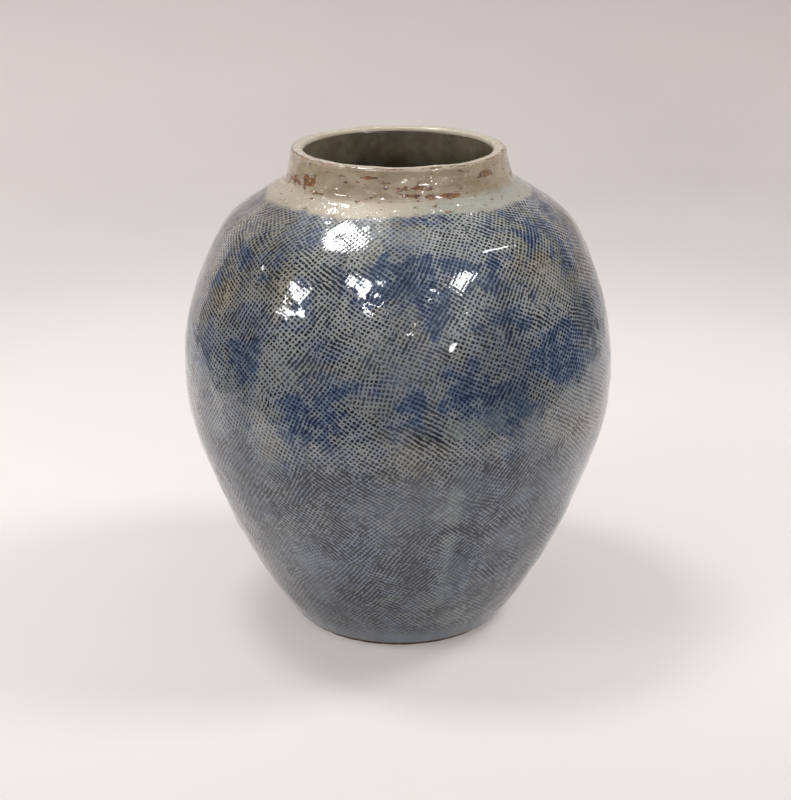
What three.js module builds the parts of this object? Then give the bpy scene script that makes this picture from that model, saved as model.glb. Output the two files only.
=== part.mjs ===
// Hand-built stoneware jar with an open mouth: a base slab, the luted courses of the wall, the collar
// and the glaze coats over them, each a closed solid of revolution about +Z. Millimetres, foot at Z = 0.
import * as THREE from 'three';

// ---- driving dimensions ----
const JAR_HEIGHT = 300;
const FOOT_RADIUS = 67;
const BELLY_RADIUS = 131;
const BELLY_HEIGHT = 168;
const NECK_ROOT_RADIUS = 67.6;
const NECK_ROOT_HEIGHT = 279.6;
const LIP_ROUNDING = 3.9; // half the thickness of the rounded lip
const LIP_CENTRE_RADIUS = 60;
const NECK_TOP_RADIUS = 63.5; // just under the lip
const NECK_TOP_HEIGHT = 293;
const MOUTH_RADIUS = LIP_CENTRE_RADIUS - LIP_ROUNDING;

const COAT_THICKNESS = 0.8; // outer glaze
const LINER_THICKNESS = 0.6; // inner glaze
const PIECE_GAP = 0.3; // between faces that touch
const WALL_DEPTH = 7.1; // from the glazed skin to the inner face of the clay
const SLAB_THICKNESS = 8;
const FOOT_CHAMFER = 1;
const BARE_FOOT_HEIGHT = 3.5; // wiped free of glaze
const COURSE_SEAM_HEIGHTS = [54, 100, 146, 196, 243]; // where one course of the wall is luted on the last
const COLLAR_SEAM_HEIGHT = 278.6;
const COAT_SEAM_HEIGHT = 271; // cream glaze above, textured glaze below
const SHOULDER_FILLET_HEIGHT = 262; // the inner face leaves the wall here and rounds into the mouth
const LINER_TOP_HEIGHT = 287.6;
const COLLAR_COAT_END_HEIGHT = 288; // the cream coat ends here, inside the mouth

const ROUND_SEGMENTS = 40;
const SKIN_STEPS = 20; // straight facets up the wall
const CLAY_DEPTH = COAT_THICKNESS + PIECE_GAP; // from the glazed skin to the outer face of the clay
const CLAY_MOUTH_RADIUS = MOUTH_RADIUS + CLAY_DEPTH;

// Glazed skin from the foot to the root of the neck: [radius, height] knots of a smooth curve.
const skin = new THREE.SplineCurve([
  [FOOT_RADIUS, 0], [85, 28], [102.5, 62], [117, 98], [128.5, 134], [BELLY_RADIUS, BELLY_HEIGHT],
  [127, 200], [117, 230], [104.5, 254], [87, 268], [NECK_ROOT_RADIUS, NECK_ROOT_HEIGHT],
].map(([radius, height]) => new THREE.Vector2(radius, height)));

// ---- materials ----
const clay = (color) => new THREE.MeshStandardMaterial({ color, roughness: 0.9, metalness: 0 });
const glaze = (color, roughness) => new THREE.MeshStandardMaterial({ color, roughness, metalness: 0 });

// ---- profile helpers; every point is a Vector2 of (radius, height) ----
const at = (radius, height) => new THREE.Vector2(radius, height);

// Stations up the skin. Depth is measured square to the wall, so `slant` turns it into a level inset.
const stations = Array.from({ length: SKIN_STEPS + 1 }, (_, step) => {
  const { x: radius, y: height } = skin.getPoint(step / SKIN_STEPS);
  return { radius, height, slant: 1 / skin.getTangent(step / SKIN_STEPS).y };
});

// Point at a height on the surface that lies `depth` under the glazed skin. Every surface bends at the
// same stations, so the pieces nest with an even gap.
function under(depth, height) {
  const upper = Math.max(1, stations.findIndex((station) => station.height >= height));
  const [below, above] = [stations[upper - 1], stations[upper]];
  const share = (height - below.height) / (above.height - below.height);
  const mix = (key) => below[key] + (above[key] - below[key]) * share;
  return at(mix('radius') - depth * mix('slant'), height);
}

// Row of points on that surface from one height up to another.
function wallFace(depth, fromHeight, toHeight) {
  const between = stations.map((station) => station.height)
    .filter((height) => height > fromHeight && height < toHeight);
  return [fromHeight, ...between, toHeight].map((height) => under(depth, height));
}

// Outer face of the neck and the lip's rounding, `depth` under the skin, up and over into the mouth.
function neckFace(depth, arcSteps) {
  const rounding = LIP_ROUNDING - depth;
  const lipCentre = at(LIP_CENTRE_RADIUS, JAR_HEIGHT - LIP_ROUNDING);
  const arc = Array.from({ length: arcSteps + 1 }, (_, step) => {
    const turn = Math.PI * step / arcSteps;
    return at(lipCentre.x + rounding * Math.cos(turn), lipCentre.y + rounding * Math.sin(turn));
  });
  return [at(NECK_TOP_RADIUS - depth, NECK_TOP_HEIGHT), ...arc];
}

// Closed solid of revolution; the outline runs up the outside and back down the inside.
function turned(name, outline, material) {
  const section = outline[0].x > 0 ? [...outline, outline[0].clone()] : outline;
  const geometry = new THREE.LatheGeometry(section, ROUND_SEGMENTS);
  geometry.rotateX(Math.PI / 2);
  const mesh = new THREE.Mesh(geometry, material);
  mesh.name = name;
  return mesh;
}

// ---- clay ----
// Flat bottom disc that the wall stands on; its bare edge is the foot.
function baseSlab() {
  const foot = under(CLAY_DEPTH, FOOT_CHAMFER);
  return turned('base_slab', [
    at(0, 0), at(foot.x - FOOT_CHAMFER, 0), foot, under(CLAY_DEPTH, SLAB_THICKNESS), at(0, SLAB_THICKNESS),
  ], clay(0x57433a));
}

// Ring of the wall between two level seams.
function wallCourse(name, bottom, top, color) {
  return turned(name, [
    ...wallFace(CLAY_DEPTH, bottom, top),
    ...wallFace(WALL_DEPTH, bottom, top).reverse(),
  ], clay(color));
}

function plainCourses() {
  const names = ['foot_course', 'lower_course', 'flank_course', 'belly_course', 'upper_course'];
  const colors = [0x665044, 0x695346, 0x6c5648, 0x6f594b, 0x725c4e];
  const bottoms = [SLAB_THICKNESS, ...COURSE_SEAM_HEIGHTS].map((height) => height + PIECE_GAP);
  return names.map((name, row) => wallCourse(name, bottoms[row], COURSE_SEAM_HEIGHTS[row], colors[row]));
}

// Rounds the inner face from the wall into the mouth, `inset` further into the hollow than the clay.
function shoulderFillet(inset) {
  const level = under(WALL_DEPTH + inset, SHOULDER_FILLET_HEIGHT);
  return [
    level,
    at(level.x - 10, SHOULDER_FILLET_HEIGHT + 5 - inset),
    at(CLAY_MOUTH_RADIUS + 6, SHOULDER_FILLET_HEIGHT + 8.5 - inset),
    at(CLAY_MOUTH_RADIUS + 1.5 - inset, SHOULDER_FILLET_HEIGHT + 11),
    at(CLAY_MOUTH_RADIUS - inset, SHOULDER_FILLET_HEIGHT + 14),
  ];
}

// Topmost course: closes in to the mouth and ends in the level ring that the collar stands on.
function shoulderCourse() {
  const bottom = COURSE_SEAM_HEIGHTS.at(-1) + PIECE_GAP;
  return turned('shoulder_course', [
    ...wallFace(CLAY_DEPTH, bottom, COLLAR_SEAM_HEIGHT - PIECE_GAP),
    at(CLAY_MOUTH_RADIUS, COLLAR_SEAM_HEIGHT - PIECE_GAP),
    ...shoulderFillet(0).reverse(),
    ...wallFace(WALL_DEPTH, bottom, SHOULDER_FILLET_HEIGHT).reverse().slice(1),
  ], clay(0x765f50));
}

// Short neck and rounded lip, set on the shoulder.
function neckCollar() {
  return turned('neck_collar', [
    at(CLAY_MOUTH_RADIUS, COLLAR_SEAM_HEIGHT),
    under(CLAY_DEPTH, COLLAR_SEAM_HEIGHT),
    at(NECK_ROOT_RADIUS - CLAY_DEPTH, NECK_ROOT_HEIGHT),
    ...neckFace(CLAY_DEPTH, 6),
  ], clay(0x7b6353));
}

// ---- glaze coats ----
function bodyGlaze() {
  const top = COAT_SEAM_HEIGHT - PIECE_GAP / 2;
  return turned('body_glaze', [
    ...wallFace(0, BARE_FOOT_HEIGHT, top),
    ...wallFace(COAT_THICKNESS, BARE_FOOT_HEIGHT, top).reverse(),
  ], glaze(0x5d6470, 0.25));
}

// Cream coat over the top of the shoulder, the neck and the lip.
function neckGlaze() {
  const bottom = COAT_SEAM_HEIGHT + PIECE_GAP / 2;
  const side = (depth) => [
    ...wallFace(depth, bottom, NECK_ROOT_HEIGHT - 1),
    at(NECK_ROOT_RADIUS - depth, NECK_ROOT_HEIGHT + depth / 2),
    ...neckFace(depth, 8),
    at(MOUTH_RADIUS + depth, COLLAR_COAT_END_HEIGHT),
  ];
  return turned('neck_glaze', [...side(0), ...side(COAT_THICKNESS).reverse()], glaze(0xb8a98a, 0.35));
}

// Dark coat over the whole inside, floor to mouth.
function linerGlaze() {
  const floor = SLAB_THICKNESS + PIECE_GAP;
  const side = (inset) => [
    ...wallFace(WALL_DEPTH + inset, floor + inset, SHOULDER_FILLET_HEIGHT).slice(0, -1),
    ...shoulderFillet(inset),
    at(CLAY_MOUTH_RADIUS - inset, LINER_TOP_HEIGHT),
  ];
  const nearClay = side(PIECE_GAP);
  const nearHollow = side(PIECE_GAP + LINER_THICKNESS);
  return turned('liner_glaze', [
    at(0, floor), at(nearClay[0].x, floor), ...nearClay.slice(1),
    ...nearHollow.reverse(), at(0, floor + PIECE_GAP + LINER_THICKNESS),
  ], glaze(0x4a4838, 0.2));
}

const jar = new THREE.Group();
jar.add(baseSlab(), ...plainCourses(), shoulderCourse(), neckCollar());
jar.add(bodyGlaze(), neckGlaze(), linerGlaze());

export default jar;
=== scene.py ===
"""Looks of a hand-built stoneware jar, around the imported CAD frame.

The outside is one fine grid that runs from the foot, up the wall and the neck, over the lip and into the
mouth. Paddle marks, unevenness and the washes of glaze are worked out on that grid, which is then cut into
one closed coat over each course of clay. Lengths are in millimetres until a mesh is made.
"""

import math

import bpy
import numpy as np
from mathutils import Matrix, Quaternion, Vector


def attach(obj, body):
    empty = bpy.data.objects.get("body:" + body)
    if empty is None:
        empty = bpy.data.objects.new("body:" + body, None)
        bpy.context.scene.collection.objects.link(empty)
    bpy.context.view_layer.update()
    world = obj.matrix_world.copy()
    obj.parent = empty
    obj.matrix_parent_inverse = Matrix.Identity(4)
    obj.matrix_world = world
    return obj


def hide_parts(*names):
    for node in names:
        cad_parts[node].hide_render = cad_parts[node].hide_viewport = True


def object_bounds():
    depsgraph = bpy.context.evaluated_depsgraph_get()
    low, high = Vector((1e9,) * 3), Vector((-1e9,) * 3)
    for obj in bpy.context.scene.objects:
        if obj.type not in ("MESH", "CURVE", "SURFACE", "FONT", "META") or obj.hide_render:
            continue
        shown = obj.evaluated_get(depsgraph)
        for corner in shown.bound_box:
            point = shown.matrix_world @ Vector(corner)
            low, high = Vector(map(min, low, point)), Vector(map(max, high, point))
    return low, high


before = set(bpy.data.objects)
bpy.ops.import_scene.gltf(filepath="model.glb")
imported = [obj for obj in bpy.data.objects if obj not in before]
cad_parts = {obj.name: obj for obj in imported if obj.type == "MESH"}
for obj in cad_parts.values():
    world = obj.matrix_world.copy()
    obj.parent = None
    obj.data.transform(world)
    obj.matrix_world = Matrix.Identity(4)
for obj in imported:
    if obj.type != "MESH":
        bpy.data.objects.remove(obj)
cad_low, cad_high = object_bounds()

JAR_HEIGHT = 300.0
MM = (cad_high.z - cad_low.z) / JAR_HEIGHT  # metres for one millimetre of the jar
FLOOR = cad_low.z

# ---- outline of the glazed skin: (radius, height) ----
BODY_KNOTS = [
    (67, 0), (85, 28), (102.5, 62), (117, 98), (128.5, 134), (131, 168),
    (127, 200), (117, 230), (104.5, 254), (87, 268), (67.6, 279.6),
]
NECK_KNOTS = [
    (71.2, 277.5), (69.0, 279.1), (67.7, 281.2), (66.9, 283.8), (66.1, 287.2), (65.3, 290.8),
    (64.5, 294.2), (64.2, 296.6), (64.1, 298.2), (63.4, 299.3), (62.0, 299.8), (60.0, 300),
    (58.2, 299.8), (57.0, 299.2), (56.35, 298.3), (56.2, 297.3),
]
NECK_START = 277.0  # the body outline gives way to the neck outline
NECK_ROOT = 278.0  # the rim's sag starts here
NECK_LENGTH = 18.0  # height over which the sag comes in
LEAN_HEIGHTS = [0, 50, 100, 150, 200, 240, 268, 300]
LEAN = [0.32, 0.42, -0.25, -0.79, -0.74, 0.06, 0.6, -0.31]  # sideways wander of the axis
RIM_SAG, RIM_TILT = 1.7, 0.75  # the hand-cut rim stands a little under the full height, lowest in front

COLUMNS = 1280
ROW_STEP = 0.66
COAT = 0.8  # thickness of the outer glaze
CLAY_DEPTH = 1.1  # outer face of the clay under the skin
CLAY_CLEARANCE = 1.0  # more depth, so that the uneven coat never meets the clay
HIDDEN_COLUMNS = 192  # of the clay behind the glaze
FINE_COLUMNS = 512  # of the foot and the liner
WALL_DEPTH = 7.1  # inner face of the clay under the skin
BARE_FOOT = 3.5
BEAD = 1.6  # height over which the coat rounds off to nothing
REFERENCE_RADIUS = 110.0  # where the cell sizes of the noise are true
SPLINE_SPREAD = 0.48  # spread of spline-smoothed noise, which noise() divides out

rng = np.random.default_rng(20240611)


# ---------------------------------------------------------------- outline
def spline(knots, steps_per_span=24):
    """Points of a uniform Catmull-Rom curve through the knots."""
    p = np.array([knots[0], *knots, knots[-1]], float)
    t = np.linspace(0, 1, steps_per_span, endpoint=False)[:, None]
    spans = []
    for i in range(1, len(p) - 2):
        leave, arrive = (p[i + 1] - p[i - 1]) / 2, (p[i + 2] - p[i]) / 2
        spans.append(
            (2 * p[i] - 2 * p[i + 1] + leave + arrive) * t**3
            + (3 * p[i + 1] - 3 * p[i] - 2 * leave - arrive) * t**2
            + leave * t + p[i]
        )
    return np.vstack([*spans, p[-1:]])


def skin_outline():
    """Arc length, radius, height and outward normal at even steps from the foot into the mouth."""
    body = spline(BODY_KNOTS)
    points = np.vstack([body[body[:, 1] < NECK_START], spline(NECK_KNOTS)])
    arc = np.concatenate([[0], np.cumsum(np.hypot(*np.diff(points, axis=0).T))])
    steps = np.linspace(0, arc[-1], int(arc[-1] / ROW_STEP) + 1)
    radius, height = (np.interp(steps, arc, points[:, k]) for k in (0, 1))
    along = np.stack([np.gradient(radius, steps), np.gradient(height, steps)])
    kernel = np.hanning(7) / np.hanning(7).sum()
    along = np.stack([np.convolve(np.pad(a, 3, mode="edge"), kernel, "valid") for a in along])
    along /= np.hypot(*along)
    return steps, radius, height, along[1], -along[0]


ARC, RADIUS, HEIGHT, NORMAL_OUT, NORMAL_UP = skin_outline()
AZIMUTH = np.linspace(0, 2 * math.pi, COLUMNS, endpoint=False) - math.pi  # 0 faces the front
arc_at = lambda height: float(np.interp(height, HEIGHT[: np.argmax(HEIGHT)], ARC[: np.argmax(HEIGHT)]))
lean_at = lambda height: np.interp(height, LEAN_HEIGHTS, LEAN)


def sag_at(height, turn):
    """How far the jar is lowered at a height and a turn, in mm, as a negative number."""
    return -(RIM_SAG + RIM_TILT * np.cos(turn)) * np.clip((height - NECK_ROOT) / NECK_LENGTH, 0, 1)


# ---------------------------------------------------------------- fields on the grid (rows up, columns round)
def spline_weights(where, count, wraps):
    """Cubic B-spline weights of `count` lattice points at each place, in lattice units."""
    base = np.floor(where).astype(int)
    t = where - base
    taps = [(1 - t) ** 3 / 6, (3 * t**3 - 6 * t**2 + 4) / 6, (-3 * t**3 + 3 * t**2 + 3 * t + 1) / 6, t**3 / 6]
    weights = np.zeros((len(where), count), np.float32)
    for k, tap in enumerate(taps):
        column = (base + k - 1) % count if wraps else np.clip(base + k - 1, 0, count - 1)
        np.add.at(weights, (np.arange(len(where)), column), tap)
    return weights


def noise(cell_round, cell_up=None):
    """Smooth noise of unit spread that closes round the jar, with cells of this size in mm."""
    cell_up = cell_up or cell_round
    round_count = max(5, round(2 * math.pi * REFERENCE_RADIUS / cell_round))
    up_count = int(ARC[-1] / cell_up) + 4
    lattice = rng.standard_normal((up_count, round_count)).astype(np.float32)
    up = spline_weights(ARC / cell_up + 1, up_count, False)
    across = spline_weights((AZIMUTH + math.pi) / (2 * math.pi) * round_count, round_count, True)
    return up @ lattice @ across.T / SPLINE_SPREAD


def smooth(low, high, value):
    t = np.clip((value - low) / (high - low), 0, 1)
    return t * t * (3 - 2 * t)


def up_the_wall(low, high):
    """0 below one distance up the wall and 1 above the other, as a column that spreads over the grid."""
    return smooth(low, high, ARC)[:, None]


def around(azimuth):
    """Distance round the jar from an azimuth in degrees, in mm, on every grid point."""
    turn = (AZIMUTH - math.radians(azimuth) + math.pi) % (2 * math.pi) - math.pi
    return turn[None, :] * RADIUS[:, None]


def blots(spots, ragged):
    """Sum of soft spots (azimuth, distance up the wall, half width, half height, strength)."""
    total = np.zeros((len(ARC), COLUMNS), np.float32)
    for azimuth, up, half_width, half_height, strength in spots:
        spread = np.hypot(around(azimuth) / half_width, (ARC[:, None] - up) / half_height)
        total += strength * (1 - smooth(0.40, 1.45, spread + 0.40 * ragged))
    return total


# ---------------------------------------------------------------- paddle marks
CORD_PITCH = 2.4
PATCH_SPACING = 27.0
OVERLAP = 1.8  # half the width over which one paddle mark gives way to the next
TOP_OF_MARKS = 276.0  # height of the jar up to which it was beaten
STRAY_MARKS = 0.08  # share of the marks struck well out of line
CORDS = ((-45, 0.5), (45, -0.5))  # slope of the two crossing sets of grooves, and its share of the skew


def lattice_turn(up):
    """Degrees that the cord lattice is turned from the diagonal: square low down, tilted on the belly."""
    return np.interp(up, [0, 130, 165, 215, 265, 290, 320], [1, 3, 8, 15, 17, 2, -4])


def paddle_strikes():
    """Centre, turn, pitch and phase of each mark left by the paddle."""
    strikes = []
    rows = int(arc_at(TOP_OF_MARKS) / PATCH_SPACING) + 1
    for row in range(rows):
        up = (row + 0.5) * arc_at(TOP_OF_MARKS) / rows
        count = max(6, round(2 * math.pi * np.interp(up, ARC, RADIUS) / (PATCH_SPACING * 1.1)))
        shift = rng.uniform(0, 360)
        for k in range(count):
            spot_up = up + rng.normal(0, 6)
            stray = rng.random() < STRAY_MARKS
            strikes.append({
                "azimuth": shift + (k + rng.uniform(-0.35, 0.35)) * 360 / count,
                "up": spot_up,
                "turn": lattice_turn(spot_up) + (rng.normal(12, 10) if stray else rng.normal(0, 5)),
                "pitch": CORD_PITCH * rng.normal(1, 0.03),
                "skew": rng.normal(3, 3),
                "phase": rng.uniform(0, 1, 2),
                "bias": rng.normal(0, 4),
            })
    return strikes


def cord_fields():
    """Two layers of cord marks (phases of their crossing grooves) and the share of the second layer."""
    shape = (len(ARC), COLUMNS)
    ragged = 2.6 * noise(13) + 1.2 * noise(4.5)
    wave_x = 0.7 * noise(26) + 0.22 * noise(7)
    wave_y = 0.7 * noise(26) + 0.22 * noise(7)
    best, second = np.full(shape, 1e6, np.float32), np.full(shape, 1e6, np.float32)
    best_mark, second_mark = np.zeros(shape, int), np.zeros(shape, int)
    strikes = paddle_strikes()
    for mark, strike in enumerate(strikes):
        distance = np.hypot(around(strike["azimuth"]), ARC[:, None] - strike["up"]) + ragged + strike["bias"]
        wins, follows = distance < best, distance < second
        second = np.where(wins, best, np.where(follows, distance, second))
        second_mark = np.where(wins, best_mark, np.where(follows, mark, second_mark))
        best, best_mark = np.where(wins, distance, best), np.where(wins, mark, best_mark)
    lead = (second - best) / OVERLAP
    second_mark = np.where(lead < 1, second_mark, best_mark)
    best_share = 0.5 + 0.5 * np.clip(lead, 0, 1)
    # The lower-numbered mark is always the first layer, so no phase jumps where both layers show.
    swapped = second_mark < best_mark
    layers = (np.where(swapped, second_mark, best_mark), np.where(swapped, best_mark, second_mark))
    share = smooth(0.25, 0.75, np.where(swapped, best_share, 1 - best_share))
    column = lambda key: np.array([strike[key] for strike in strikes])
    phases = []
    for layer in layers:
        turn = (AZIMUTH - np.radians(column("azimuth"))[layer] + math.pi) % (2 * math.pi) - math.pi
        x, y = turn * RADIUS[:, None] + wave_x, ARC[:, None] - column("up")[layer] + wave_y
        for part, (side, skew_share) in enumerate(CORDS):
            slope = np.radians(side + column("turn") + skew_share * column("skew"))[layer]
            across = -x * np.sin(slope) + y * np.cos(slope)
            phases.append(across / column("pitch")[layer] + column("phase")[layer, part])
    return phases, share


def pits_of(phase_a, phase_b, balance):
    """0 on a ridge to 1 in the bottom of a pit; the shader repeats this for its colours."""
    groove, cross = (0.5 + 0.5 * np.cos(2 * math.pi * phase) for phase in (phase_a, phase_b))
    return (1 - np.clip(1 - balance, 0, 1) * (1 - groove)) * (1 - np.clip(1 + balance, 0, 1) * (1 - cross))


# ---------------------------------------------------------------- washes of colour
# Cobalt seen from the front: azimuth, distance up the wall, half width, half height, strength
COBALT = [
    (-30, 284, 9, 6, 0.5), (-12, 262, 30, 10, 0.55), (-28, 243, 9, 6, 1.0), (-6, 256, 7, 5, 1.0),
    (5, 268, 22, 9, 0.9), (9, 255, 9, 20, 1.0), (22, 270, 24, 8, 0.7), (32, 262, 18, 8, 0.55),
    (14, 303, 14, 5, 0.8), (52, 290, 26, 16, 0.65), (60, 262, 16, 10, 0.5),
    (-43, 211, 12, 11, 0.75), (-62, 262, 16, 14, 0.4), (-11, 205, 16, 5, 0.8), (4, 196, 12, 14, 0.75),
    (18, 203, 15, 14, 1.0), (44, 213, 24, 13, 1.0), (-20, 182, 24, 18, 0.6), (29, 178, 10, 20, 0.8),
    (-64, 205, 20, 12, 0.4), (22, 82, 9, 16, 0.5), (-40, 120, 18, 10, 0.45), (0, 60, 8, 7, 0.35),
]
# Thinner cobalt between those
COBALT_THIN = [
    (-46, 268, 24, 7, 0.45), (-40, 232, 18, 7, 0.5), (-14, 224, 16, 5, 0.45), (28, 238, 18, 8, 0.45),
    (-30, 258, 12, 6, 0.5), (44, 272, 18, 9, 0.5), (64, 232, 14, 14, 0.4), (-68, 236, 12, 14, 0.45),
    (-26, 140, 12, 8, 0.35), (34, 128, 14, 9, 0.35), (-12, 96, 16, 6, 0.35),
]
# Greenish-white runs and blots
MILK = [
    (15, 90, 3.0, 62, 0.5), (17, 180, 22, 5, 0.6), (20, 31, 13, 6, 0.6), (-3, 53, 6, 5, 0.35),
    (9, 40, 4, 8, 0.5), (-34, 100, 4, 40, 0.3), (62, 120, 5, 50, 0.4), (-1, 210, 6, 8, 0.25),
]
# Rust on the neck: azimuth, height, half width, half height, strength
RUST = [
    (-50, 288.0, 10, 3.6, 0.8), (-66, 284.5, 8, 2.6, 0.9), (-30, 290.0, 6, 1.4, 0.6),
    (-12, 294.2, 9, 1.2, 0.9), (2, 288.2, 10, 1.5, 0.8), (4, 283.4, 7, 1.6, 0.8),
    (-6, 291.4, 7, 1.1, 0.7), (24, 281.8, 10, 1.4, 0.9), (48, 291.8, 5, 1.6, 0.9),
    (-45, 281.0, 6, 1.4, 0.5), (34, 282.6, 7, 1.0, 0.7),
]
FRONT = 68  # azimuth on either side up to which the photographed spots stand alone
COPY_TURNS = (140, 240)


def elsewhere(spots):
    """These spots, and the same sort round the rest of the jar, shuffled, mirrored and resized."""
    more = []
    for azimuth, up, half_width, half_height, strength in spots:
        for turn in COPY_TURNS:
            more.append((
                turn + rng.choice([-1, 1]) * azimuth * 0.7 + rng.normal(0, 9), up + rng.normal(0, 4),
                half_width * rng.uniform(0.7, 1.3), half_height * rng.uniform(0.8, 1.25),
                strength * rng.uniform(0.7, 1.1),
            ))
    return spots + [m for m in more if FRONT < m[0] % 360 < 360 - FRONT]


CREAM_FROM = 273.8  # height at which the cream glaze starts
CREAM_DIP = 2.2  # how much lower it reaches on the front left
FOOT_FADE = (6, 26)  # the marks come in over this stretch of the wall
BELLY_TURN = (140, 172)  # the upper body's look comes in over this stretch
RIM_UNIT = 10.0  # the field under_rim is 1 this far down from the top of the rim


def wash_fields():
    """Masks of the glaze colours and of how clearly the pits show."""
    upper = up_the_wall(*BELLY_TURN)
    streaks = noise(9, 60)
    ragged = 0.8 * noise(8) + 0.6 * noise(3.6)
    cobalt = blots(elsewhere(COBALT) + COBALT_THIN, ragged)
    cobalt = cobalt + 0.12 * (noise(20) + streaks) * (0.6 + 0.4 * upper)
    cobalt += 0.16 * upper + 0.10
    milk = blots(elsewhere(MILK), ragged) + 0.16 * np.clip(streaks - 0.8, 0, 2) * (1 - upper)
    olive = smooth(-0.6, 1.6, noise(24) + 0.4 * noise(7)) * (0.25 + 0.75 * upper)
    left_dip = CREAM_DIP * np.cos(AZIMUTH + math.radians(45)).clip(0)
    cream_edge = arc_at(CREAM_FROM) - left_dip + 1.2 * noise(30) + 0.6 * noise(5)
    cream = smooth(-2.4, 1.6, ARC[:, None] - cream_edge)
    rust_spots = [(a, arc_at(h), w, t, s) for a, h, w, t, s in elsewhere(RUST)]
    rust = blots(rust_spots, ragged)
    smooth_spots = smooth(1.5, 2.3, noise(16))
    show = 0.94 + 0.10 * upper + 0.10 * noise(18) + 0.08 * noise(6)
    show *= (1 - 0.35 * smooth_spots) * up_the_wall(*FOOT_FADE) * (1 - cream)
    show *= 1 - 0.55 * np.clip(milk, 0, 1)
    under_rim = ((ARC[np.argmax(HEIGHT)] - ARC) / RIM_UNIT)[:, None]
    return {
        "show": (np.clip(show, 0, 1.1), np.clip(0.17 * noise(8), -0.45, 0.45), under_rim),
        "tint": (np.clip(cobalt, 0, 1), olive, np.clip(milk, 0, 1)),
        "wash": (cream, np.clip(rust, 0, 1), np.clip(0.5 + 0.22 * streaks + 0.1 * noise(5, 30), 0, 1)),
    }


# ---------------------------------------------------------------- shape of the skin
THROWING_DEPTH, THROWING_PITCH = 0.05, 4.6  # faint rings round the neck
PIT_DEPTH = 0.025  # of the cord marks under the glaze, in mm


def unevenness():
    """How far the hand-beaten skin stands off its outline."""
    broad = 0.30 * noise(60) + 0.16 * noise(30)
    dimples = 0.12 * noise(11) + 0.055 * noise(6) + 0.03 * noise(3.2) * np.clip(1 + noise(18), 0, 2.5)
    neck_dents = 0.12 * noise(16) + 0.06 * noise(6)
    body = up_the_wall(3, 22) * (1 - up_the_wall(arc_at(268), arc_at(277)))
    neck = up_the_wall(arc_at(270), arc_at(280))
    rings = THROWING_DEPTH * np.sin(ARC * 2 * math.pi / THROWING_PITCH)[:, None]
    rings *= up_the_wall(arc_at(281), arc_at(284)) * (1 - up_the_wall(arc_at(292), arc_at(294)))
    return np.clip(broad * body, -0.7, 0.9) + dimples * body + neck_dents * neck + rings


PHASES, LAYER_SHARE = cord_fields()
WASH = wash_fields()
RELIEF = unevenness()


def pressed_skin():
    """Unevenness with the pits of the cord, which the glaze fills more in some places than in others."""
    pits = [smooth(0.2, 0.8, pits_of(a, b, WASH["show"][1])) for a, b in (PHASES[:2], PHASES[2:])]
    depth = np.clip(PIT_DEPTH + 0.02 * noise(22), 0.004, 0.08)
    return RELIEF - depth * WASH["show"][0] * (pits[0] + LAYER_SHARE * (pits[1] - pits[0]))


SKIN = pressed_skin()


def skin_points(off):
    """Places on the jar, `off` mm out from the outline along its normal, for every row and column."""
    out = RADIUS[:, None] + NORMAL_OUT[:, None] * off
    height = HEIGHT[:, None] + NORMAL_UP[:, None] * off + sag_at(HEIGHT[:, None], AZIMUTH)
    x = out * np.sin(AZIMUTH) + lean_at(HEIGHT)[:, None]
    return np.stack([x, -out * np.cos(AZIMUTH), height + 0 * x], axis=-1)


def grid_normals(points):
    """Unit normals of a grid that closes in its columns."""
    up = np.gradient(points, axis=0)
    across = np.roll(points, -1, axis=1) - np.roll(points, 1, axis=1)
    normal = np.cross(across, up)
    return normal / np.linalg.norm(normal, axis=-1, keepdims=True)


# ---------------------------------------------------------------- meshes
def make_mesh(name, points, faces, normals=None, fields=None):
    """Object from points in mm, quads or triangles as index rows, vertex normals and named vector fields."""
    mesh = bpy.data.meshes.new(name)
    points = np.asarray(points, np.float64) * MM + np.array([0, 0, FLOOR])
    loops = np.concatenate([np.asarray(f).ravel() for f in faces])
    sizes = np.concatenate([np.full(len(f), f.shape[1]) for f in faces])
    mesh.vertices.add(len(points))
    mesh.vertices.foreach_set("co", points.astype(np.float32).ravel())
    mesh.loops.add(len(loops))
    mesh.loops.foreach_set("vertex_index", loops.astype(np.int32))
    mesh.polygons.add(len(sizes))
    mesh.polygons.foreach_set("loop_start", np.concatenate([[0], np.cumsum(sizes)[:-1]]).astype(np.int32))
    mesh.polygons.foreach_set("use_smooth", np.ones(len(sizes), bool))
    mesh.update(calc_edges=True)
    mesh.validate()
    for field, values in (fields or {}).items():
        attribute = mesh.attributes.new(field, "FLOAT_VECTOR", "POINT")
        attribute.data.foreach_set("vector", np.asarray(values, np.float32).ravel())
    if normals is not None:
        mesh.normals_split_custom_set_from_vertices(normals.tolist())
    piece = bpy.data.objects.new(name, mesh)
    bpy.context.scene.collection.objects.link(piece)
    return piece


def ring_faces(rows, columns, closes_in_rows):
    """Quads of a grid that closes in its columns, and in its rows too if asked."""
    row = np.arange(rows if closes_in_rows else rows - 1)[:, None]
    column = np.arange(columns)[None, :]
    here, above = row * columns, (row + 1) % rows * columns
    side = (column + 1) % columns
    return np.stack([here + column, here + side, above + side, above + column], -1).reshape(-1, 4)


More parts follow.
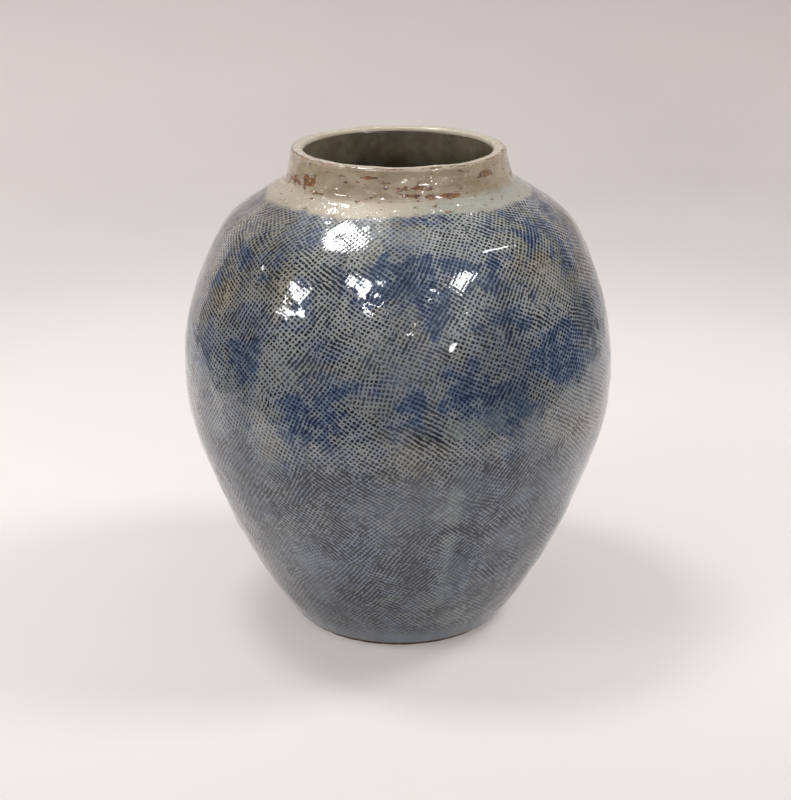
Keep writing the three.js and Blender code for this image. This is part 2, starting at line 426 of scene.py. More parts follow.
def coat(name, low_row, high_row, slot_name, material, node, back_count=8):
    """Closed shell of glaze over rows of the skin, with a plain back face against the clay."""
    rows = slice(low_row, high_row + 1)
    rounded_foot = np.clip((ARC - arc_at(BARE_FOOT)) / BEAD, 0, 1)
    bead = np.sqrt(1 - (1 - rounded_foot) ** 2)
    front = skin_points(SKIN - (COAT * (1 - bead))[:, None])
    back = skin_points(RELIEF - COAT)
    front_normals = grid_normals(front)[rows]
    back_rows = np.unique(np.linspace(low_row, high_row, back_count).round().astype(int))[::-1]
    points = np.concatenate([front[rows].reshape(-1, 3), back[back_rows].reshape(-1, 3)])
    normals = np.concatenate([front_normals.reshape(-1, 3), -grid_normals(back)[back_rows].reshape(-1, 3)])
    total_rows = high_row - low_row + 1 + len(back_rows)
    spare = np.zeros((len(back_rows) * COLUMNS, 3), np.float32)

    def stack(*parts):
        on_grid = np.stack([part[rows] + 0 * SKIN[rows] for part in parts], -1)
        return np.concatenate([on_grid.reshape(-1, 3), spare])

    piece = make_mesh(name, points, [ring_faces(total_rows, COLUMNS, True)], normals, {
        "cord": stack(*PHASES[:2], LAYER_SHARE),
        "cord_over": stack(*PHASES[2:], LAYER_SHARE),
        "show": stack(*WASH["show"]),
        "tint": stack(*WASH["tint"]),
        "wash": stack(*WASH["wash"]),
    })
    piece.data.materials.append(material)
    return finish_piece(piece, slot_name, node)


def finish_piece(piece, slot_name, *nodes):
    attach(piece, "root")
    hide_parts(*nodes)
    return piece


def turned_points(outline, columns, wobble=None):
    """Rings of points from an outline of (radius, height), leaning with the jar."""
    turn = np.linspace(0, 2 * math.pi, columns, endpoint=False) - math.pi
    radius, height = (np.asarray(outline, float)[:, k][:, None] for k in (0, 1))
    if wobble is not None:
        radius, height = radius + wobble[0], height + wobble[1]
    x = radius * np.sin(turn) + lean_at(height)
    return np.stack([x, -radius * np.cos(turn), height + sag_at(height, turn) + 0 * x], axis=-1)


def under_skin(depth, heights):
    """Outline points `depth` under the skin at these heights, measured square to the wall."""
    rising = np.argmax(HEIGHT)
    at = lambda values: np.interp(heights, HEIGHT[:rising], values[:rising])
    return np.stack([at(RADIUS) - depth / np.maximum(at(NORMAL_OUT), 0.45), heights], -1)


def clay_ring(name, bottom, top, material, inner=None):
    """Course of clay behind the glaze."""
    heights = np.linspace(bottom, top, 12)
    outside = under_skin(CLAY_DEPTH + CLAY_CLEARANCE, heights)
    inside = under_skin(WALL_DEPTH, heights)[::-1] if inner is None else np.array(inner, float)
    return turned_ring(name, np.vstack([outside, inside]), material)


def turned_ring(name, outline, material):
    """Plain closed ring from the outline of its section."""
    points = turned_points(outline, HIDDEN_COLUMNS)
    piece = make_mesh(name, points.reshape(-1, 3), [ring_faces(len(outline), HIDDEN_COLUMNS, True)])
    piece.data.materials.append(material)
    return piece


# ---------------------------------------------------------------- materials
def linear(*srgb):
    """Scene colour of an sRGB colour given in 0 to 255."""
    to_linear = lambda v: v / 12.92 if v <= 0.04045 else ((v + 0.055) / 1.055) ** 2.4
    return (*(to_linear(v / 255) for v in srgb), 1.0)


class Recipe:
    """A node material under construction."""

    def __init__(self, name):
        self.material = bpy.data.materials.new(name)
        self.material.use_nodes = True
        self.tree = self.material.node_tree
        self.tree.nodes.clear()
        self.shader = self.tree.nodes.new("ShaderNodeBsdfPrincipled")
        output = self.tree.nodes.new("ShaderNodeOutputMaterial")
        self.tree.links.new(self.shader.outputs["BSDF"], output.inputs["Surface"])
        self.place = self.tree.nodes.new("ShaderNodeTexCoord").outputs["Object"]

    def plug(self, socket, value):
        if isinstance(value, bpy.types.NodeSocket):
            self.tree.links.new(value, socket)
        else:
            socket.default_value = value

    def math(self, operation, a, b=0.0, clamp=False):
        node = self.tree.nodes.new("ShaderNodeMath")
        node.operation, node.use_clamp = operation, clamp
        self.plug(node.inputs[0], a)
        self.plug(node.inputs[1], b)
        return node.outputs[0]

    def span(self, value, low, high, to_low=0.0, to_high=1.0, smooth_step=True):
        node = self.tree.nodes.new("ShaderNodeMapRange")
        node.interpolation_type = "SMOOTHSTEP" if smooth_step else "LINEAR"
        self.plug(node.inputs["Value"], value)
        for key, number in (("From Min", low), ("From Max", high), ("To Min", to_low), ("To Max", to_high)):
            self.plug(node.inputs[key], number)
        return node.outputs["Result"]

    def mix(self, share, a, b):
        """Colour a where share is 0, b where it is 1."""
        node = self.tree.nodes.new("ShaderNodeMix")
        node.data_type, node.blend_type, node.clamp_factor = "RGBA", "MIX", True
        self.plug(node.inputs[0], share)
        self.plug(node.inputs[6], a)
        self.plug(node.inputs[7], b)
        return node.outputs[2]

    def noise_node(self, size, stretch=(1, 1, 1)):
        mapping = self.tree.nodes.new("ShaderNodeMapping")
        mapping.inputs["Scale"].default_value = [s / (size * MM) for s in stretch]
        self.plug(mapping.inputs["Vector"], self.place)
        node = self.tree.nodes.new("ShaderNodeTexNoise")
        self.plug(node.inputs["Vector"], mapping.outputs[0])
        node.inputs["Scale"].default_value = 1.0
        return node

    def noise(self, size, detail=2.0, roughness=0.55, stretch=(1, 1, 1)):
        """Noise with features about `size` mm across."""
        node = self.noise_node(size, stretch)
        node.inputs["Detail"].default_value = detail
        node.inputs["Roughness"].default_value = roughness
        return node.outputs["Fac"]

    def blend(self, share, a, b):
        """a where share is 0, b where it is 1."""
        return self.math("ADD", a, self.math("MULTIPLY", share, self.math("SUBTRACT", b, a)))

    def parts(self, vector):
        split = self.tree.nodes.new("ShaderNodeSeparateXYZ")
        self.tree.links.new(vector, split.inputs[0])
        return list(split.outputs)

    def field(self, name):
        """The three numbers stored on the mesh under this name."""
        node = self.tree.nodes.new("ShaderNodeAttribute")
        node.attribute_name = name
        return self.parts(node.outputs["Vector"])

    def noise_pair(self, size):
        """Two unlike noises with features about `size` mm across."""
        return self.parts(self.noise_node(size).outputs["Color"])[:2]

    def cell_chance(self, column, row):
        """A random number of its own for each whole column and row."""
        join = self.tree.nodes.new("ShaderNodeCombineXYZ")
        self.plug(join.inputs[0], column)
        self.plug(join.inputs[1], row)
        node = self.tree.nodes.new("ShaderNodeTexWhiteNoise")
        node.noise_dimensions = "2D"
        self.tree.links.new(join.outputs[0], node.inputs["Vector"])
        return node.outputs["Value"]

    def bump(self, height, millimetres, strength=1.0, socket="Normal"):
        node = self.tree.nodes.new("ShaderNodeBump")
        node.inputs["Strength"].default_value = strength
        node.inputs["Distance"].default_value = millimetres * MM
        self.plug(node.inputs["Height"], height)
        self.plug(self.shader.inputs[socket], node.outputs["Normal"])

    def finish(self, colour, roughness, coat=0.0, coat_roughness=0.05, ior=1.5):
        self.plug(self.shader.inputs["Base Color"], colour)
        self.plug(self.shader.inputs["Roughness"], roughness)
        self.shader.inputs["IOR"].default_value = ior
        self.shader.inputs["Coat Weight"].default_value = coat
        self.shader.inputs["Coat Roughness"].default_value = coat_roughness
        self.shader.inputs["Coat IOR"].default_value = 1.5
        self.shader.inputs["Specular IOR Level"].default_value = 0.25 if coat else 0.5
        return self.material


# Colours of the glazes. Ridges stand above the pits; the band is the darker belly, low is the wall below it.
RIDGE_GREY, RIDGE_BAND, RIDGE_LOW = linear(172, 176, 175), linear(142, 148, 151), linear(127, 138, 149)
RIDGE_OLIVE, RIDGE_BLUE, WASH_BLUE = linear(158, 152, 130), linear(112, 136, 164), linear(30, 68, 116)
PIT_BLACK, PIT_BLUE, PIT_LOW = linear(2, 4, 7), linear(1, 24, 70), linear(2, 13, 32)
MILK_GREEN = linear(150, 164, 160)
CREAM, CREAM_DEEP, CREAM_PALE = linear(190, 176, 150), linear(164, 146, 118), linear(210, 200, 178)
RUST_BROWN, RUST_DARK = linear(172, 104, 48), linear(90, 60, 38)
LINER_DARK, LINER_PALE = linear(112, 108, 88), linear(140, 134, 112)
PINHOLE = linear(70, 60, 46)
FOOT_GREY, STREAK_BLUE, DUST = linear(96, 101, 102), linear(24, 34, 46), linear(180, 180, 172)
BELOW_BELLY = (0.128, 0.168)  # heights in metres over which one zone of the glaze gives way to the next
INTO_BAND, OUT_OF_BAND = (0.140, 0.176), (0.196, 0.232)
NEAR_FOOT = (0.02, 0.09)
SKIRT_IN, SKIRT_OUT = (0.2690, 0.2745), (0.2775, 0.2825)
PIT_EDGE = (0.17, 0.37)  # how deep in the cord's shape a pit starts, and where it is fully dark
CRAWL_DEPTH = 1.7  # of the cream glaze's bubbled gloss, in mm
SHIFT = 0.32  # how far a pit strays from its place, in pitches


def cord_nodes(r, balance):
    """The paddle marks again, at the shader's own sharpness, each pit a little different from the next."""
    half_cos = lambda phase: r.span(
        r.math("COSINE", r.math("MULTIPLY", phase, 2 * math.pi)), -1, 1, smooth_step=False)
    keep = lambda weight, groove: r.math(
        "SUBTRACT", 1.0, r.math("MULTIPLY", weight, r.math("SUBTRACT", 1.0, groove)))
    weight_a = r.math("SUBTRACT", 1.0, balance, clamp=True)
    weight_b = r.math("ADD", 1.0, balance, clamp=True)
    shift_a, shift_b = (r.span(n, 0, 1, -SHIFT, SHIFT, smooth_step=False) for n in r.noise_pair(CORD_PITCH))
    layers = []
    for name in ("cord", "cord_over"):
        phase_a, phase_b, share = r.field(name)
        phase_a, phase_b = r.math("ADD", phase_a, shift_a), r.math("ADD", phase_b, shift_b)
        pit = r.math("MULTIPLY", keep(weight_a, half_cos(phase_a)), keep(weight_b, half_cos(phase_b)))
        chance = r.cell_chance(r.math("ROUND", phase_a), r.math("ROUND", phase_b))
        layers.append(r.math("MULTIPLY", pit, r.span(chance, 0, 1, 0.45, 1.45, smooth_step=False)))
    return r.blend(share, *layers)


def cord_glaze_colour(r, height):
    """Colour of the blue-grey glaze over the cord marks, the depth of the pits, and two noises."""
    show, balance, _ = r.field("show")
    cobalt, olive, milk = r.field("tint")
    streak = r.field("wash")[2]
    low = r.span(height, *BELOW_BELLY, 1.0, 0.0)
    band = r.math("MULTIPLY", r.span(height, *INTO_BAND), r.span(height, *OUT_OF_BAND, 1.0, 0.0))
    grain, cloud, blotch = r.noise(1.6, 3), r.noise(6, 4, 0.6), r.noise(3.4, 3, 0.6)
    cobalt = r.math("ADD", cobalt, r.span(cloud, 0.3, 0.7, -0.34, 0.30), clamp=True)
    shape = r.math("ADD", cord_nodes(r, balance), r.span(blotch, 0.3, 0.7, -0.15, 0.15, smooth_step=False))
    wider = r.math("MAXIMUM", cobalt, r.math("MULTIPLY", low, 1.6))
    shape = r.math("ADD", shape, r.math("MULTIPLY", wider, 0.10))
    depth = r.math("MULTIPLY", r.span(shape, *PIT_EDGE), show)
    bleed = r.math("MULTIPLY", r.span(shape, -0.2, 0.3), cobalt)
    ridge = r.mix(low, RIDGE_GREY, RIDGE_LOW)
    ridge = r.mix(r.math("MULTIPLY", olive, 0.8), ridge, RIDGE_OLIVE)
    ridge = r.mix(r.math("MULTIPLY", band, 0.85), ridge, RIDGE_BAND)
    ridge = r.mix(r.span(height, *NEAR_FOOT, 0.55, 0.0), ridge, FOOT_GREY)
    ridge = r.mix(bleed, ridge, RIDGE_BLUE)
    ridge = r.mix(r.span(cobalt, 0.75, 1.10, 0.0, 0.60), ridge, WASH_BLUE)
    ridge = r.mix(r.math("MULTIPLY", milk, 0.7), ridge, MILK_GREEN)
    pit = r.mix(low, r.mix(cobalt, PIT_BLACK, PIT_BLUE), PIT_LOW)
    body = r.mix(depth, ridge, pit)
    body = r.mix(r.span(streak, 0.30, 0.9, 0.0, 0.30), body, STREAK_BLUE)
    body = r.mix(r.span(grain, 0.45, 0.75, 0.0, 0.08), body, DUST)
    return body, depth, blotch, grain


def rust_nodes(r, under_rim, cloud):
    """Where the cream glaze burnt to rust: brushed patches, a broken line under the rim and small flecks."""
    rust = r.field("wash")[1]
    smear = r.noise(3.4, 4, 0.6, stretch=(0.55, 0.55, 1.5))
    patches = r.span(r.math("ADD", rust, r.span(smear, 0.3, 0.7, -0.65, 0.65, smooth_step=False)), 0.34, 0.62)
    ragged = r.math("ADD", under_rim, r.span(smear, 0.3, 0.7, -0.09, 0.09, smooth_step=False))
    line = r.math("MULTIPLY", r.span(ragged, 0.20, 0.27), r.span(ragged, 0.30, 0.40, 1.0, 0.0))
    line = r.math("MULTIPLY", line, r.span(r.noise(12, 2), 0.42, 0.56))
    fleck = r.math("MULTIPLY", r.span(r.noise(1.8, 3, 0.7, stretch=(0.6, 0.6, 1.4)), 0.63, 0.68),
                   r.span(cloud, 0.42, 0.6, 0.0, 0.7))
    return r.math("MAXIMUM", r.math("MAXIMUM", patches, line), fleck)


def cream_glaze_colour(r, height, rusty):
    """Colour of the cream glaze, with rust and pinholes, paler on the skirt and where it thins at the rim."""
    under_rim = r.field("show")[2]
    speck = r.noise(0.7, 2)
    neck = r.mix(r.span(r.noise(9, 4, 0.6, stretch=(0.7, 0.7, 1.2)), 0.30, 0.70), CREAM, CREAM_DEEP)
    skirt = r.math("MULTIPLY", r.span(height, *SKIRT_IN), r.span(height, *SKIRT_OUT, 1.0, 0.0))
    neck = r.mix(r.math("MULTIPLY", skirt, 0.6), neck, CREAM_PALE)
    greenish = r.math("MULTIPLY", skirt, r.span(r.parts(r.place)[0], -0.01, 0.03))
    neck = r.mix(r.math("MULTIPLY", greenish, 0.6), neck, MILK_GREEN)
    burnt = r.mix(r.span(r.noise(2.4, 3), 0.40, 0.60), RUST_BROWN, RUST_DARK)
    burnt = r.mix(r.span(rusty, 0.35, 0.95, 0.8, 0.0), burnt, RUST_DARK)
    burnt = r.mix(r.span(speck, 0.45, 0.62, 0.0, 0.5), burnt, RUST_DARK)
    neck = r.mix(r.span(rusty, 0.15, 0.5, 0.0, 0.88), neck, burnt)
    neck = r.mix(r.span(r.noise(0.9, 1), 0.70, 0.74, 0, 0.6), neck, PINHOLE)
    return r.mix(r.span(under_rim, 0.16, 0.22, 0.85, 0.0), neck, CREAM_PALE)


def outer_glaze(name):
    """Blue-grey glaze over cord marks that turns to cream with rust where the masks say."""
    r = Recipe(name)
    height = r.parts(r.place)[2]
    body, depth, blotch, grain = cord_glaze_colour(r, height)
    cream, cloud = r.field("wash")[0], r.noise(7, 3)
    rusty = rust_nodes(r, r.field("show")[2], cloud)
    colour = r.mix(cream, body, cream_glaze_colour(r, height, rusty))
    bump = r.math("SUBTRACT", r.math("MULTIPLY", blotch, 0.30), r.math("MULTIPLY", depth, 0.6))
    r.bump(r.math("ADD", bump, r.math("MULTIPLY", grain, 0.2)), 0.12)
    crawl = r.math("MULTIPLY", r.noise(2.0, 2), r.math("MULTIPLY", cream, r.span(r.noise(6, 2), 0.50, 0.64)))
    crust = r.math("MULTIPLY", rusty, r.math("MULTIPLY", cream, 0.3))
    r.bump(r.math("ADD", crawl, crust), CRAWL_DEPTH, socket="Coat Normal")
    return r.finish(colour, r.span(grain, 0.3, 0.7, 0.34, 0.52), coat=1.0, coat_roughness=0.035)


def liner_glaze_material():
    """Dark olive glaze of the inside, with paler clouds and a rusty rim."""
    r = Recipe("dark_liner")
    cloud, grain = r.noise(16, 3), r.noise(1.4, 3)
    height = r.parts(r.place)[2]
    colour = r.mix(r.span(cloud, 0.35, 0.7), LINER_DARK, LINER_PALE)
    colour = r.mix(r.span(r.noise(5, 2), 0.66, 0.74, 0, 0.5), colour, linear(128, 124, 108))
    rim = r.math("MULTIPLY", r.span(height, 0.268, 0.286), r.span(r.noise(6, 3), 0.42, 0.6))
    colour = r.mix(r.math("MULTIPLY", rim, 0.25), colour, linear(104, 66, 40))
    colour = r.mix(r.span(r.noise(1.0, 1), 0.70, 0.75, 0, 0.7), colour, linear(30, 26, 20))
    r.bump(r.math("ADD", cloud, r.math("MULTIPLY", grain, 0.15)), 0.3)
    return r.finish(colour, r.span(grain, 0.3, 0.7, 0.34, 0.52), coat=1.0, coat_roughness=0.08)


def clay_material(name, light, dark):
    """Bare stoneware: matte, sandy, with iron specks and toasted clouds."""
    r = Recipe(name)
    sand, toast = r.noise(0.8, 4, 0.7), r.noise(14, 3)
    colour = r.mix(r.span(toast, 0.3, 0.7), dark, light)
    colour = r.mix(r.span(sand, 0.4, 0.7, 0, 0.45), colour, linear(150, 126, 104))
    colour = r.mix(r.span(r.noise(1.3, 1), 0.70, 0.73, 0, 0.8), colour, linear(34, 24, 18))
    r.bump(r.math("ADD", sand, r.math("MULTIPLY", r.noise(3, 2), 0.7)), 0.25)
    return r.finish(colour, r.span(sand, 0.3, 0.7, 0.72, 0.92))


def paper_material():
    """Warm white sweep of the studio, glowing with painted light and painted darker up the wall as shade."""
    r = Recipe("studio_paper_with_painted_glow")
    colour = r.mix(r.span(r.noise(500, 2), 0.3, 0.7), linear(226, 221, 219), linear(231, 226, 223))
    r.bump(r.noise(2, 2), 0.05, 0.2)
    x, y, height = r.parts(r.place)
    reach = r.math("SQRT", r.math("ADD", r.math("MULTIPLY", x, x), r.math("MULTIPLY", y, y)))
    # Painted light: the paper glows by itself, most near the jar, less far off, towards the camera and up the
    # wall.
    painted_glow = r.blend(r.span(reach, 0.40, 1.0), 0.30, 0.15)
    painted_glow = r.math("SUBTRACT", painted_glow, r.span(y, -0.28, -0.04, 0.12, 0.0))
    painted_glow = r.blend(r.span(height, 0.0, 0.5), painted_glow, 0.07)
    # Painted shade: the paper's colour turns darker up the wall.
    colour = r.mix(r.span(height, 0.0, 0.4), colour, linear(216, 208, 207))
    r.plug(r.shader.inputs["Emission Color"], colour)
    # Painted light: the glow is brighter on the left of the sweep and dimmer on its right.
    painted_glow = r.math("SUBTRACT", painted_glow, r.math("MULTIPLY", x, 0.09), clamp=True)
    r.plug(r.shader.inputs["Emission Strength"], painted_glow)
    return r.finish(colour, 0.85)


# ---------------------------------------------------------------- pieces
COURSE_SEAMS = [54, 100, 146, 196, 243]
COAT_SEAM = 271
SLAB_TOP = 8.0
GAP = 0.3
LINER = 0.6  # thickness of the glaze inside
INNER_BEND = 258.0  # the inner face leaves the wall here and rounds into the mouth
FINGER_PITCH = 17.0  # of the ridges that the potter's fingers left inside
WIRE_PITCH = 3.1  # of the marks of the wire that cut the jar off the wheel
COURSES = [
    "foot_course", "lower_course", "flank_course", "belly_course", "upper_course", "shoulder_course",
]


def build_coats():
    body = outer_glaze("blue_grey_over_cord")
    neck = outer_glaze("cream_with_rust")
    row_at = lambda height: int(round(arc_at(height) / (ARC[1] - ARC[0])))
    edges = [row_at(h) for h in (BARE_FOOT, *COURSE_SEAMS, COAT_SEAM)]
    for course, low, high in zip(COURSES, edges[:-1], edges[1:], strict=True):
        coat("glaze_on_" + course, low, high, "blue_grey_glaze", body, "body_glaze")
    coat("glaze_on_neck", edges[-1], len(ARC) - 1, "cream_glaze", neck, "neck_glaze", 40)


def build_clay():
    wall = clay_material("wall_stoneware", linear(124, 98, 82), linear(98, 76, 62))
    bottoms = [SLAB_TOP, *COURSE_SEAMS[:-1]]
    for name, bottom, top in zip(COURSES[:-1], bottoms, COURSE_SEAMS, strict=True):
        finish_piece(clay_ring("clay_" + name, bottom + GAP, top, wall), "wall_clay", name)
    shoulder_inside = [
        (60.2, 276.5), (62.6, 272.6), (66.4, 270.2), (72, 268.3), (86, 265.4),
        *under_skin(WALL_DEPTH, np.linspace(INNER_BEND, COURSE_SEAMS[-1] + GAP, 6)),
    ]
    piece = clay_ring("clay_shoulder_course", COURSE_SEAMS[-1] + GAP, 276.5, wall, shoulder_inside)
    finish_piece(piece, "wall_clay", "shoulder_course")
    collar_inside = [(60, 298.0), (58.9, 297.6), (58.1, 296.2), (58.0, 284), (58.8, 280)]
    collar_outside = [(66.0, 280), (65.6, 284), (64.0, 289), (62.4, 292.4), (62.4, 295.6), (61.8, 297.4)]
    collar = turned_ring("clay_neck_collar", np.array(collar_outside + collar_inside, float), wall)
    finish_piece(collar, "wall_clay", "neck_collar")


def capped_faces(rings, columns):
    """Faces of rings of points between a first and a last single point, which come after the rings."""
    first, last = rings * columns, rings * columns + 1
    here = np.arange(columns)
    side = (here + 1) % columns
    top = (rings - 1) * columns
    return [
        ring_faces(rings, columns, False),
        np.stack([np.full(columns, first), side, here], -1),
        np.stack([np.full(columns, last), top + here, top + side], -1),
    ]


def build_foot():
    """Bare slab: wire-cut underside that stands flat, chamfered edge, rough rim."""
    columns = FINE_COLUMNS
    turn = np.linspace(0, 2 * math.pi, columns, endpoint=False) - math.pi
    low_radii = np.linspace(2, 64.2, 90)
    side = [
        (65.3, 0.35), (65.9, 1.0), (66.35, 1.8), (66.9, 2.8), (67.3, 3.6), (66.5, 4.6), (68.0, 7.0),
        (67.6, SLAB_TOP),
    ]
    outline = np.array([(r, 0.0) for r in low_radii] + side + [(r, SLAB_TOP) for r in (50, 20, 2)])
    r = outline[:, 0][:, None]
    chord = r * np.sin(turn) * 0.9 + np.abs(r * np.cos(turn) + 95)
    scored = 0.5 + 0.5 * np.sin(chord * 2 * math.pi / WIRE_PITCH + 0.6 * np.sin(r * np.sin(turn) / 9))
    under = (np.arange(len(outline)) < len(low_radii) - 3)[:, None]
    rim = ((outline[:, 1] > 0) & (outline[:, 1] < SLAB_TOP))[:, None]
    rough = np.interp(turn, np.linspace(-math.pi, math.pi, 97), np.append(rng.normal(0, 0.16, 96), 0))
    points = turned_points(outline, columns, (rim * rough, under * (0.05 + 0.35 * scored**3)))
    points = np.concatenate([points.reshape(-1, 3), [[lean_at(0), 0, 0.1], [lean_at(0), 0, SLAB_TOP]]])
    foot = make_mesh("clay_foot_slab", points, [f[:, ::-1] for f in capped_faces(len(outline), columns)])
    foot.data.materials.append(clay_material("foot_stoneware", linear(96, 74, 60), linear(62, 46, 36)))
    finish_piece(foot, "foot_clay", "base_slab")


def build_liner():
    """Closed shell of dark glaze over the floor and the inside of the wall."""
    columns = FINE_COLUMNS
    floor = SLAB_TOP + GAP + LINER
    wall = under_skin(WALL_DEPTH + GAP + LINER, np.linspace(floor + 4, INNER_BEND, 150))
    corner_radius = wall[0, 0]
    inside = np.array([
        *((r, floor) for r in np.linspace(2, corner_radius - 6, 30)),
        (corner_radius - 3.2, floor + 0.5), (corner_radius - 0.9, floor + 2.0), *map(tuple, wall),
        (84, 263.2), (76, 264.8), (70, 266.3), (65.2, 268.2), (61.6, 270.7), (59.2, 273.7), (57.8, 277.2),
        (57.0, 281), (56.75, 284.4), (56.65, 288), (56.6, 292), (56.6, 296.4), (56.62, 296.8),
        (56.75, 296.95),
    ])
    back = np.array([
        (57.1, 296.95), (57.2, 296.8), (57.2, 288), (57.5, 281.4), (58.3, 277.6), (59.8, 274.2),
        (62.2, 271.3), (65.6, 268.9), (70.2, 267), (76.2, 265.5), (84.2, 263.9),
        *map(tuple, under_skin(WALL_DEPTH + GAP, np.linspace(INNER_BEND, SLAB_TOP + GAP, 12))),
        (30, SLAB_TOP + GAP), (2, SLAB_TOP + GAP),
    ])
    outline = np.vstack([inside, back])
    turn = np.linspace(0, 2 * math.pi, columns, endpoint=False) - math.pi
    along = np.concatenate([[0], np.cumsum(np.hypot(*np.diff(outline, axis=0).T))])[:, None]
    fingers = 0.35 * np.sin(along * 2 * math.pi / FINGER_PITCH + 0.7 * np.sin(turn * 3))
    fingers += 0.3 * np.sin(turn * 7 + along / 23)
    reach = np.interp(outline[:, 1], [floor, floor + 12, 250, 272], [0, 1, 1, 0])[:, None]
    reach = reach * (np.arange(len(outline)) < len(inside))[:, None]
    points = turned_points(outline, columns, (-np.abs(fingers) * reach, 0 * reach))
    ends = [[lean_at(0), 0, floor], [lean_at(0), 0, SLAB_TOP + GAP]]
    points = np.concatenate([points.reshape(-1, 3), ends])
    liner = make_mesh("glaze_inside", points, capped_faces(len(outline), columns))
    liner.data.materials.append(liner_glaze_material())
    finish_piece(liner, "dark_glaze", "liner_glaze")


# ---------------------------------------------------------------- studio
def build_studio():
    """Round sweep of warm white paper, the same shape from every side; its material paints glow and shade."""
    flat, bend, wall_top, columns = 1350.0, 650.0, 1500.0, 128
    curve = np.linspace(0, math.pi / 2, 24)
    outline = [(r, 0.0) for r in (40, 200, 500, 900, flat)]
    outline += [(flat + bend * math.sin(a), bend * (1 - math.cos(a))) for a in curve[1:]]
    outline += [(flat + bend, wall_top)]
    turn = np.linspace(0, 2 * math.pi, columns, endpoint=False)
    radius, height = (np.array(outline)[:, k][:, None] for k in (0, 1))
    points = np.stack([radius * np.sin(turn), -radius * np.cos(turn), height + 0 * turn], -1).reshape(-1, 3)
    points = np.concatenate([points, [[0, 0, 0]]])
    here = np.arange(columns)
    fan = np.stack([np.full(columns, len(points) - 1), here, (here + 1) % columns], -1)
    sweep = make_mesh("studio_sweep", points, [ring_faces(len(outline), columns, False), fan])
    sweep.data.materials.append(paper_material())


FLAG_REACH = 128  # azimuth to which the dark surroundings go on either side


def build_flag():
    """Dark surroundings that only the gloss sees: a floor ring and a wall round the front and the sides."""
    turn = np.radians(np.linspace(-FLAG_REACH, FLAG_REACH, 65))
    near = np.interp(np.abs(np.degrees(turn)), [0, 45, 80, 105, FLAG_REACH], [450, 450, 640, 760, 1150])
    rings = [(near, 2.0), (0 * near + 1300, 3.0), (0 * near + 1800, 420.0), (0 * near + 1800, 2000.0)]
    points = np.concatenate([
        np.stack([radius * np.sin(turn), -radius * np.cos(turn), height + 0 * turn], -1)
        for radius, height in rings
    ])
    here = np.arange(len(turn) - 1)
    strips = [here[:, None] + len(turn) * k + np.array([0, 1, 1 + len(turn), len(turn)]) for k in range(3)]
    card = make_mesh("studio_flag", points, strips)
    r = Recipe("dark_card")
    card.data.materials.append(r.finish(r.mix(r.noise(20), linear(70, 68, 68), linear(84, 82, 80)), 0.9))
    card.visible_camera = card.visible_diffuse = card.visible_shadow = False


LAMP_DISTANCE = 1.7  # metres
SHOULDER_HEIGHT = 240  # mm
GLEAM = 24.0  # radiance of most of the lamps that the gloss sees


def soft_light(name, azimuth, elevation, size, radiance, tilt=0, gloss=False):
    """Rectangular lamp aimed at the shoulder; azimuth 0 is the camera's side, positive to its right.

    The lamps that light the jar are too wide to be its highlights, so the gloss sees a second set.
    """
    lamp = bpy.data.lights.new(name, "AREA")
    lamp.shape = "RECTANGLE"
    lamp.size, lamp.size_y = size
    lamp.energy = radiance * math.pi * size[0] * size[1]
    piece = bpy.data.objects.new(name, lamp)
    a, e = math.radians(azimuth), math.radians(elevation)
    away = Vector((math.sin(a) * math.cos(e), -math.cos(a) * math.cos(e), math.sin(e)))
    piece.location = Vector((0, 0, FLOOR + SHOULDER_HEIGHT * MM)) + away * LAMP_DISTANCE
    piece.rotation_mode = "QUATERNION"
    piece.rotation_quaternion = away.to_track_quat("Z", "Y") @ Quaternion((0, 0, 1), math.radians(tilt))
    piece.visible_camera = False
    piece.visible_diffuse, piece.visible_glossy = not gloss, gloss
    bpy.context.scene.collection.objects.link(piece)


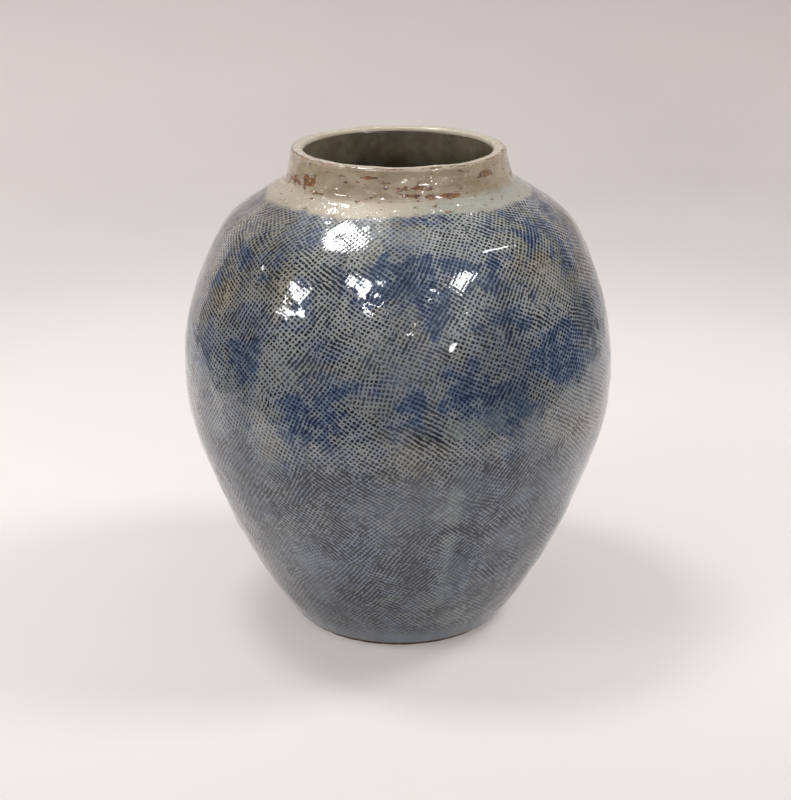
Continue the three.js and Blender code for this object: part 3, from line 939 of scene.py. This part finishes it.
def build_light():
    soft_light("ceiling_left", -97, 71, (0.40, 0.40), 17.5)
    soft_light("ceiling_right", 92, 50, (0.46, 0.46), 16.0)
    soft_light("window_front_left", -60, 35, (0.5, 0.4), 6.0)
    soft_light("gleam_ceiling", -103, 68, (0.42, 0.24), 34.0, gloss=True)
    soft_light("gleam_skirt", -151, 63.4, (0.52, 0.22), 34.0, -43, gloss=True)
    soft_light("gleam_right", 41.5, 32, (0.52, 0.26), 28.0, 43, gloss=True)
    soft_light("gleam_front", -24, 35, (0.28, 0.22), GLEAM, gloss=True)
    soft_light("gleam_front_low", -15, 27, (0.24, 0.03), GLEAM, gloss=True)
    soft_light("gleam_left", -60, 24.5, (0.30, 0.13), GLEAM, gloss=True)
    soft_light("gleam_left_low", -64, 18.5, (0.16, 0.06), GLEAM, gloss=True)
    soft_light("gleam_far_left", -92, 22.5, (0.14, 0.12), GLEAM, gloss=True)
    soft_light("gleam_tube_right", 94, 50, (0.56, 0.035), GLEAM, -23, gloss=True)
    soft_light("gleam_back_right", 144, 55.5, (0.06, 0.10), GLEAM, gloss=True)
    soft_light("gleam_low_right", 27, 14, (0.13, 0.13), GLEAM, gloss=True)
    soft_light("gleam_low_middle", 5, 18.5, (0.20, 0.04), GLEAM, gloss=True)
    soft_light("gleam_below_window", 21, 26.5, (0.18, 0.05), GLEAM, gloss=True)
    world = bpy.data.worlds.new("studio_room")
    world.use_nodes = True
    background = world.node_tree.nodes["Background"]
    background.inputs["Color"].default_value = (1.0, 0.965, 0.95, 1)
    background.inputs["Strength"].default_value = 0.32
    bpy.context.scene.world = world
    bpy.context.scene.view_settings.view_transform = "Standard"


CAMERA_DISTANCE, CAMERA_HEIGHT, LOOKS_DOWN = 950, 483.3, 20.0  # mm, mm and degrees


def build_camera():
    lens = bpy.data.cameras.new("camera")
    lens.sensor_width, lens.lens = 36.0, 72.56
    lens.shift_x = -0.0038
    lens.clip_start, lens.clip_end = 0.05, 20.0
    camera = bpy.data.objects.new("camera", lens)
    camera.location = (0, -CAMERA_DISTANCE * MM, FLOOR + CAMERA_HEIGHT * MM)
    camera.rotation_euler = (math.radians(90 - LOOKS_DOWN), 0, 0)
    bpy.context.scene.collection.objects.link(camera)
    bpy.context.scene.camera = camera


build_camera()
build_coats()
build_clay()
build_foot()
build_liner()
build_studio()
build_flag()
build_light()
